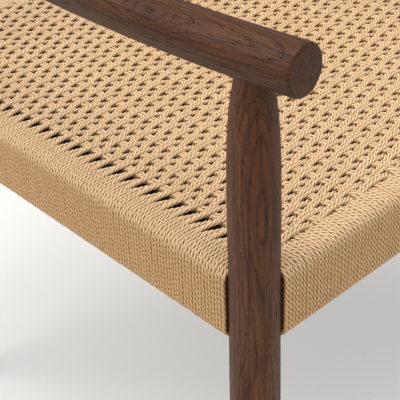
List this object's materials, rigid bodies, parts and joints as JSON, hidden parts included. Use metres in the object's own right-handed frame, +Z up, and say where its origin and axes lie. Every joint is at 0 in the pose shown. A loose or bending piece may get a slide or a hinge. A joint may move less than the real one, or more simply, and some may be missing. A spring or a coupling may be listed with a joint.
{
  "type": "armchair",
  "caption": "Low easy chair with round dark oak legs, bowed round arms, curved back slats and a seat woven from twisted paper cord that wraps the rails.",
  "frame": {"origin": "centre of the chair's bounding box in plan, on the floor under the glides", "axes": "+X to the sitter's left, -Y to the front where the sitter's knees are, +Z up"},
  "size_m": [0.6276, 0.6479, 0.7375],
  "materials": {
    "oak": "dark stained open-pored oak, matt oil",
    "dowel_beech": "plain sanded",
    "paper_cord": "natural twisted paper cord, lightly waxed",
    "lining_board": "thin hardboard, stained black",
    "steel": "plain wire steel",
    "glide_nylon": "matt"
  },
  "bodies": {
    "root": {"arm_left": "oak", "arm_right": "oak", "arm_screw_plugs": "oak", "arm_screws": "steel", "back_dowels": "dowel_beech", "back_slat_lower": "oak", "back_slat_upper": "oak", "cord_nails_front": "steel", "cord_nails_left": "steel", "cord_nails_rear": "steel", "cord_nails_right": "steel", "cord_wrap_front": "paper_cord", "cord_wrap_left": "paper_cord", "cord_wrap_rear": "paper_cord", "cord_wrap_right": "paper_cord", "glide_front_left": "glide_nylon", "glide_front_right": "glide_nylon", "glide_rear_left": "glide_nylon", "glide_rear_right": "glide_nylon", "leg_front_left": "oak", "leg_front_right": "oak", "leg_rear_left": "oak", "leg_rear_right": "oak", "rail_dowels_front": "dowel_beech", "rail_dowels_left": "dowel_beech", "rail_dowels_rear": "dowel_beech", "rail_dowels_right": "dowel_beech", "seat_lining": "lining_board", "seat_rail_front": "oak", "seat_rail_left": "oak", "seat_rail_rear": "oak", "seat_rail_right": "oak", "seat_weave": "paper_cord"}
  },
  "joints": []
}
